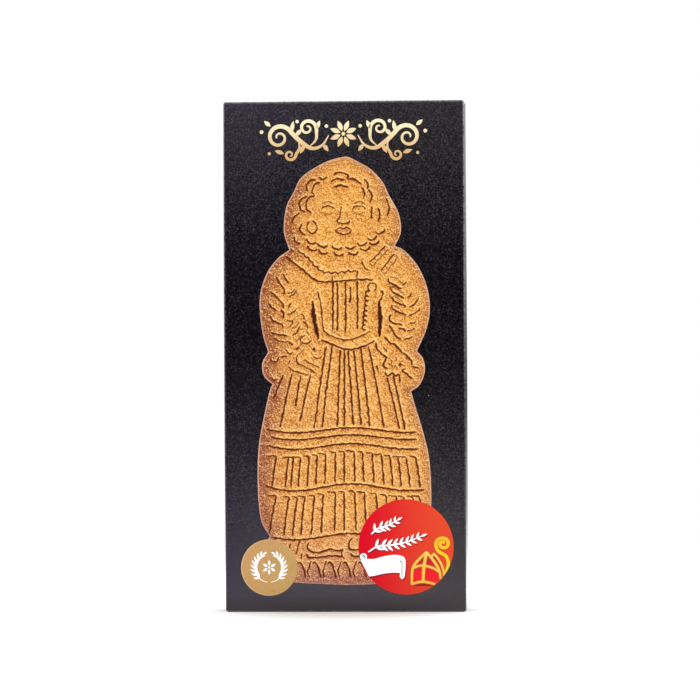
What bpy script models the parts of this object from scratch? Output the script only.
"""A closed carton for one large moulded speculoos biscuit, with a round paper sticker on its front.

The carton is one sheet of board, folded and shut, so it is one solid. It stands upright on its
bottom end: X is its width, Y its depth with the printed front at -Y, and Z its height. The origin
is the middle of the bottom end. All lengths are in metres.
"""

import math

import bmesh
import bpy
from mathutils import Matrix, Vector

# The carton, outside.
WIDTH = 0.151
DEPTH = 0.030
HEIGHT = 0.320

# Solid board of about 350 g per square metre.
BOARD = 0.00045

# The four long folds, and the folds that turn the side panels into dust flaps.
FOLD_RADIUS = 0.0007
# The fold between the front panel and each end panel, which was creased harder.
END_FOLD_RADIUS = 0.0004
FOLD_SEGMENTS = 3

# Each end panel is cut a little narrower than the carton and lies proud of the dust flaps. The
# bottom one sits looser, so the carton's lower corners look blunter than the upper ones.
BOTTOM_INSET = 0.0014
BOTTOM_STEP = 0.0006
TOP_INSET = 0.0009
TOP_STEP = 0.0005

# How far the filled carton's panels swell in their middle.
FRONT_BOW = 0.0006
SIDE_BOW = 0.0005
COLUMNS = 8
ROWS = 16
LAYERS = 4

# Open lines where the board's cut edges meet: behind each end panel, and down the glued corner.
SLIT = 0.0003
SLIT_DEPTH = 0.0010
SEAM_DEPTH = 0.0012
CUT_PAST = 0.002

# The round sticker near the foot of the front.
STICKER_RADIUS = 0.030
STICKER_THICKNESS = 0.0003
STICKER_X = 0.0380
STICKER_Z = 0.0403
STICKER_SIDES = 72
STICKER_ROWS = 6
CLEARANCE = 0.0003

PRINTED_BLACK = (0.012, 0.011, 0.013, 1.0)
STICKER_RED = (0.72, 0.025, 0.02, 1.0)


def clear_scene():
    """Remove whatever the file opens with."""
    for found in list(bpy.data.objects):
        bpy.data.objects.remove(found)


def make_collection(name):
    """A new collection in the scene."""
    collection = bpy.data.collections.new(name)
    bpy.context.scene.collection.children.link(collection)
    return collection


def make_material(name, color, roughness):
    """A Principled material of one colour."""
    material = bpy.data.materials.new(name)
    material.use_nodes = True
    shader = material.node_tree.nodes["Principled BSDF"]
    shader.inputs["Base Color"].default_value = color
    shader.inputs["Roughness"].default_value = roughness
    shader.inputs["Metallic"].default_value = 0.0
    material.diffuse_color = color
    return material


def finish_object(name, bm, collection, material=None):
    """Turn the bmesh into a named object in the collection."""
    bmesh.ops.recalc_face_normals(bm, faces=bm.faces)
    mesh = bpy.data.meshes.new(name)
    bm.to_mesh(mesh)
    bm.free()
    made = bpy.data.objects.new(name, mesh)
    collection.objects.link(made)
    if material:
        mesh.materials.append(material)
    return made


def add_box(bm, low, high):
    """Add a box between two corners to the bmesh."""
    low, high = Vector(low), Vector(high)
    placed = Matrix.Translation((low + high) / 2) @ Matrix.Diagonal((*(high - low), 1.0))
    bmesh.ops.create_cube(bm, size=1.0, matrix=placed)


def slice_mesh(bm, axis, positions):
    """Cut every face along planes across one axis, so that the panels can bow."""
    normal = [0.0, 0.0, 0.0]
    normal[axis] = 1.0
    for position in positions:
        point = [value * position for value in normal]
        everything = bm.verts[:] + bm.edges[:] + bm.faces[:]
        bmesh.ops.bisect_plane(bm, geom=everything, plane_co=point, plane_no=normal, dist=1e-6)


def even_steps(low, high, count):
    """The inner division points of a span cut into equal parts."""
    return [low + (high - low) * i / count for i in range(1, count)]


def swell(x, y, z):
    """Outward move in X and Y of a point of the carton's walls, none at the folds and ends."""
    along = math.sin(math.pi * min(max(z / HEIGHT, 0.0), 1.0))
    across = math.cos(math.pi * min(max(x / WIDTH, -0.5), 0.5))
    through = math.cos(math.pi * min(max(y / DEPTH, -0.5), 0.5))
    side = x / (WIDTH / 2)
    front = y / (DEPTH / 2)
    return SIDE_BOW * through * along * side, FRONT_BOW * across * along * front


def bow_walls(bm):
    """Swell the panels by the same rule wherever the points lie."""
    for vertex in bm.verts:
        move_x, move_y = swell(*vertex.co)
        vertex.co.x += move_x
        vertex.co.y += move_y


def edges_where(bm, test):
    """The edges whose two ends both pass the test."""
    return [edge for edge in bm.edges if all(test(vertex.co) for vertex in edge.verts)]


def near(value, target):
    """Whether two lengths match within the mesh's rounding."""
    return abs(value - target) < 1e-6


def raise_end_panel(bm, level, half_panel, step):
    """Extrude the middle of one end by a signed step, and leave a shoulder over each dust flap."""
    panel = [
        face
        for face in bm.faces
        if all(near(v.co.z, level) and abs(v.co.x) < half_panel + 1e-6 for v in face.verts)
    ]
    raised = bmesh.ops.extrude_face_region(bm, geom=panel)
    bmesh.ops.delete(bm, geom=panel, context="FACES")
    moved = [item for item in raised["geom"] if isinstance(item, bmesh.types.BMVert)]
    bmesh.ops.translate(bm, verts=moved, vec=(0, 0, step))


def round_folds(bm, shoulder_low, shoulder_high):
    """Bevel the long folds, the dust-flap folds and the two folds of the end panels."""
    half_width, half_depth = WIDTH / 2, DEPTH / 2

    def on_side(point):
        return near(abs(point.x), half_width)

    def on_long_fold(point):
        return on_side(point) and near(abs(point.y), half_depth)

    def on_dust_fold(point):
        return on_side(point) and (near(point.z, shoulder_low) or near(point.z, shoulder_high))

    def on_end_fold(point):
        return near(point.y, -half_depth) and (near(point.z, 0.0) or near(point.z, HEIGHT))

    folds = set(edges_where(bm, on_long_fold)) | set(edges_where(bm, on_dust_fold))
    for edges, radius in (
        (list(folds), FOLD_RADIUS),
        (edges_where(bm, on_end_fold), END_FOLD_RADIUS),
    ):
        bmesh.ops.bevel(
            bm,
            geom=edges,
            offset=radius,
            offset_type="OFFSET",
            segments=FOLD_SEGMENTS,
            profile=0.5,
            affect="EDGES",
        )


def make_slit_cutters(collection):
    """Thin boxes for the open lines: one behind each end panel and one down the glued corner."""
    half_width, half_depth = WIDTH / 2, DEPTH / 2
    back_inside = half_depth - BOARD
    side_inside = half_width - BOARD
    reach = half_width + CUT_PAST
    boxes = {
        "seam_slit_cutter": (
            (side_inside - SLIT, half_depth - SEAM_DEPTH, -CUT_PAST),
            (side_inside, half_depth + CUT_PAST, HEIGHT + CUT_PAST),
        ),
        "top_slit_cutter": (
            (-reach, back_inside - SLIT, HEIGHT - SLIT_DEPTH),
            (reach, back_inside, HEIGHT + CUT_PAST),
        ),
        "bottom_slit_cutter": (
            (-reach, back_inside - SLIT, -CUT_PAST),
            (reach, back_inside, SLIT_DEPTH),
        ),
    }
    cutters = []
    for name, (low, high) in boxes.items():
        bm = bmesh.new()
        add_box(bm, low, high)
        cutter = finish_object(name, bm, collection)
        cutter.hide_render = True
        cutter.display_type = "WIRE"
        cutters.append(cutter)
    return cutters


def make_carton(collection, cutters, material):
    """The shut carton: a bowed box with rounded folds, raised end panels and open cut lines."""
    shoulder_low, shoulder_high = BOTTOM_STEP, HEIGHT - TOP_STEP
    half_width, half_depth = WIDTH / 2, DEPTH / 2
    half_bottom, half_top = half_width - BOTTOM_INSET, half_width - TOP_INSET
    bm = bmesh.new()
    add_box(bm, (-half_width, -half_depth, shoulder_low), (half_width, half_depth, shoulder_high))
    panel_sides = [-half_top, -half_bottom, half_bottom, half_top]
    slice_mesh(bm, 0, panel_sides + even_steps(-half_bottom, half_bottom, COLUMNS))
    slice_mesh(bm, 1, even_steps(-half_depth, half_depth, LAYERS))
    slice_mesh(bm, 2, even_steps(shoulder_low, shoulder_high, ROWS))
    raise_end_panel(bm, shoulder_low, half_bottom, -BOTTOM_STEP)
    raise_end_panel(bm, shoulder_high, half_top, TOP_STEP)
    round_folds(bm, shoulder_low, shoulder_high)
    bow_walls(bm)
    carton = finish_object("carton", bm, collection, material)
    for cutter in cutters:
        cut = carton.modifiers.new(cutter.name, "BOOLEAN")
        cut.operation = "DIFFERENCE"
        cut.solver = "EXACT"
        cut.object = cutter
    return carton


def make_sticker(collection, material):
    """The round paper sticker, bowed like the panel that it is stuck to."""
    front = -DEPTH / 2 - CLEARANCE
    bm = bmesh.new()
    turned = Matrix.Rotation(math.pi / 2, 4, "X")
    middle = Vector((STICKER_X, front - STICKER_THICKNESS / 2, STICKER_Z))
    bmesh.ops.create_cone(
        bm,
        cap_ends=True,
        segments=STICKER_SIDES,
        radius1=STICKER_RADIUS,
        radius2=STICKER_RADIUS,
        depth=STICKER_THICKNESS,
        matrix=Matrix.Translation(middle) @ turned,
    )
    for axis, centre in ((0, STICKER_X), (2, STICKER_Z)):
        low, high = centre - STICKER_RADIUS, centre + STICKER_RADIUS
        slice_mesh(bm, axis, even_steps(low, high, STICKER_ROWS))
    bow_walls(bm)
    return finish_object("round_sticker", bm, collection, material)


def main():
    """Build the pack in its own collection, with the cutters in another."""
    clear_scene()
    pack = make_collection("speculoos_carton")
    helpers = make_collection("cutters")
    board = make_material("printed_board", PRINTED_BLACK, 0.42)
    paper = make_material("sticker_paper", STICKER_RED, 0.35)
    make_carton(pack, make_slit_cutters(helpers), board)
    make_sticker(pack, paper)


main()
